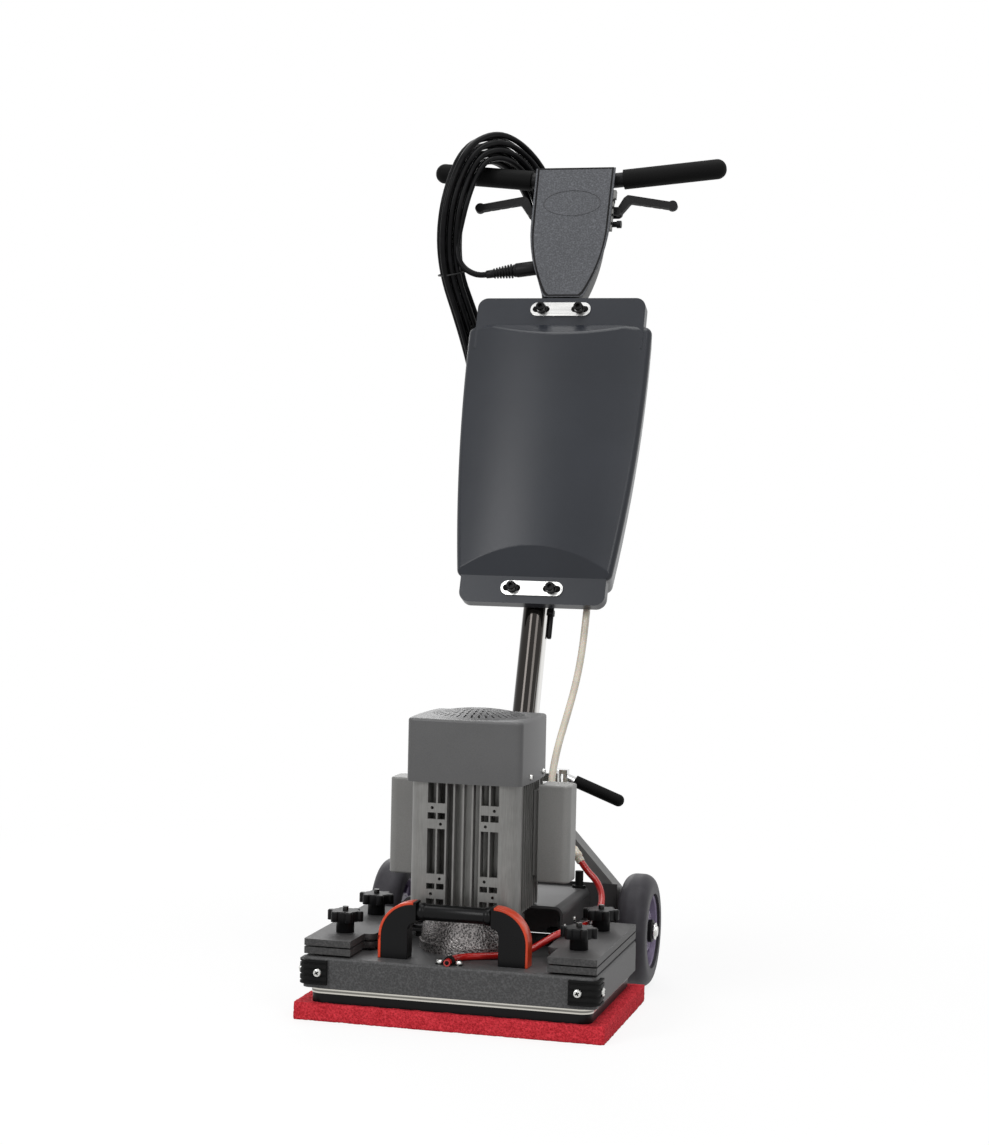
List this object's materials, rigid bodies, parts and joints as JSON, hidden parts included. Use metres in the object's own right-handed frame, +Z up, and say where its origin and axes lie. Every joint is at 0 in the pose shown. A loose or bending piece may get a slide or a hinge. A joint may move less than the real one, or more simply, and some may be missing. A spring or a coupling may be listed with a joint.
{
  "type": "orbital floor machine",
  "caption": "Walk-behind orbital floor scrubber with a rectangular pad, motor on a weighted deck, tilting handle, solution tank and control box with T-bar grips.",
  "frame": {"origin": "on the floor, straight below the motor axis", "axes": "+Z up, +X to the right seen from the front, +Y back to the operator"},
  "size_m": [0.4764, 0.8711, 1.3136],
  "materials": {
    "aluminium_grey": "silver grey paint on cast aluminium",
    "cast_dark": "cast iron",
    "cast_hammered": "hammered grey paint on a casting",
    "chrome_tube": "chromed steel",
    "cord_black": "black cord sheath",
    "gloss_black": "smooth black plastic",
    "grip_black": "black foam-like grip",
    "hammered_grey": "hammered grey paint",
    "hose_red": "red silicone hose",
    "hose_white": "cream-white plastic hose",
    "hub_purple": "purple-grey plastic",
    "pad_red": "open fibrous nylon floor pad",
    "painted_dark": "dark grey paint",
    "painted_grey": "smooth grey paint",
    "painted_light": "light grey paint",
    "plastic_black": "moulded black plastic",
    "plastic_grey": "smooth grey paint",
    "rubber_black": "black rubber",
    "stainless": "brushed stainless sheet",
    "steel_black": "black powder coat",
    "steel_dark": "blackened steel",
    "steel_plain": "plain turned steel",
    "tank_grey": "blue-grey rotomoulded plastic",
    "trim_orange": "orange-red plastic",
    "tyre_grey": "dark grey rubber"
  },
  "bodies": {
    "deck": {"bridge_brackets": "painted_light", "capacitor_box_left": "plastic_grey", "capacitor_box_right": "plastic_grey", "chassis_bridge": "painted_dark", "corner_bumper_left": "rubber_black", "corner_bumper_right": "rubber_black", "deck_housing": "hammered_grey", "deck_screws": "steel_plain", "fan_cover": "painted_grey", "feed_hose": "hose_red", "hose_clip": "rubber_black", "lift_handle_bar": "plastic_black", "lift_handle_leg_left": "gloss_black", "lift_handle_leg_right": "gloss_black", "lift_handle_trims": "trim_orange", "motor_base": "cast_hammered", "motor_frame": "aluminium_grey", "motor_stator": "steel_plain", "pivot_bolt": "steel_plain", "rubber_mounts": "rubber_black", "weight_plates_left": "hammered_grey", "weight_plates_right": "hammered_grey", "weight_studs": "steel_dark", "wheel_axle": "steel_plain", "yoke_arm_left": "painted_dark", "yoke_arm_right": "painted_dark"},
    "rotor": {"motor_rotor": "steel_plain", "cooling_fan": "plastic_black", "eccentric_hub": "cast_dark"},
    "driver": {"scrub_pad": "pad_red", "driver_plate": "plastic_black", "driver_edge_strip": "stainless"},
    "wheel_left": {"wheel_tyre_left": "tyre_grey", "wheel_hub_left": "hub_purple"},
    "wheel_right": {"wheel_tyre_right": "tyre_grey", "wheel_hub_right": "hub_purple"},
    "lock_lever": {"lock_lever_fork": "chrome_tube", "lock_lever_grip": "grip_black"},
    "trigger_left": {"trigger_left": "plastic_black"},
    "trigger_right": {"trigger_right": "plastic_black"},
    "safety_button": {"safety_button": "plastic_black"},
    "tank_cap": {"tank_cap": "plastic_black"},
    "handle": {"handle_tube": "chrome_tube", "water_tank": "tank_grey", "tank_straps": "stainless", "strap_screws": "plastic_black", "control_plate": "hammered_grey", "control_housing": "plastic_black", "handlebar": "steel_black", "grip_left": "grip_black", "grip_right": "grip_black", "cord_gland": "rubber_black", "cord_lead": "cord_black", "cord_coil": "cord_black", "cord_plug": "gloss_black", "solution_hose": "hose_white"},
    "knob_front_left": {"knob_front_left": "plastic_black"},
    "knob_front_right": {"knob_front_right": "plastic_black"},
    "knob_rear_left": {"knob_rear_left": "plastic_black"},
    "knob_rear_right": {"knob_rear_right": "plastic_black"}
  },
  "joints": [
    {"name": "rotor_spin", "type": "hinge", "parent": "deck", "child": "rotor", "pos_m": [0, 0, 0.2], "axis": [0, 0, 1], "continuous": true},
    {"name": "driver_orbit", "type": "hinge", "parent": "rotor", "child": "driver", "pos_m": [0, 0.003, 0.05], "axis": [0, 0, 1], "continuous": true},
    {"name": "wheel_left_spin", "type": "hinge", "parent": "deck", "child": "wheel_left", "pos_m": [-0.1855, 0.259, 0.0824], "axis": [1, 0, 0], "continuous": true},
    {"name": "wheel_right_spin", "type": "hinge", "parent": "deck", "child": "wheel_right", "pos_m": [0.1855, 0.259, 0.0824], "axis": [1, 0, 0], "continuous": true},
    {"name": "handle_tilt", "type": "hinge", "parent": "deck", "child": "handle", "pos_m": [0, 0.264, 0.3], "axis": [-1, 0, 0], "range_deg": [-20, 40], "deforming": ["solution_hose"]},
    {"name": "lock_lever_swing", "type": "hinge", "parent": "deck", "child": "lock_lever", "pos_m": [0.056, 0.264, 0.3], "axis": [0, 0, 1], "range_deg": [0, 85]},
    {"name": "trigger_left_squeeze", "type": "hinge", "parent": "handle", "child": "trigger_left", "pos_m": [-0.07, 0.57759, 1.17035], "axis": [0, 0.9352, -0.3542], "range_deg": [0, 14], "stiffness_Nm_per_rad": 0.9, "springref_deg": -5.73},
    {"name": "trigger_right_squeeze", "type": "hinge", "parent": "handle", "child": "trigger_right", "pos_m": [0.07, 0.57759, 1.17035], "axis": [0, -0.9352, 0.3542], "range_deg": [0, 14], "stiffness_Nm_per_rad": 0.9, "springref_deg": -5.73},
    {"name": "safety_button_press", "type": "slide", "parent": "handle", "child": "safety_button", "axis": [-1, 0, 0], "range_m": [0, 0.005], "stiffness_N_per_m": 300, "springref_m": -0.002},
    {"name": "tank_cap_turn", "type": "hinge", "parent": "handle", "child": "tank_cap", "pos_m": [0.088, 0.51785, 0.97591], "axis": [0, 0.3542, 0.9352], "continuous": true},
    {"name": "knob_front_left_turn", "type": "hinge", "parent": "deck", "child": "knob_front_left", "pos_m": [-0.164, -0.077, 0.125], "axis": [0, 0, 1], "continuous": true},
    {"name": "knob_front_right_turn", "type": "hinge", "parent": "deck", "child": "knob_front_right", "pos_m": [0.164, -0.077, 0.125], "axis": [0, 0, 1], "continuous": true},
    {"name": "knob_rear_left_turn", "type": "hinge", "parent": "deck", "child": "knob_rear_left", "pos_m": [-0.164, 0.077, 0.125], "axis": [0, 0, 1], "continuous": true},
    {"name": "knob_rear_right_turn", "type": "hinge", "parent": "deck", "child": "knob_rear_right", "pos_m": [0.164, 0.077, 0.125], "axis": [0, 0, 1], "continuous": true}
  ],
  "couplings": [
    {"joint": "driver_orbit", "follows": "rotor_spin", "ratio": -1}
  ]
}
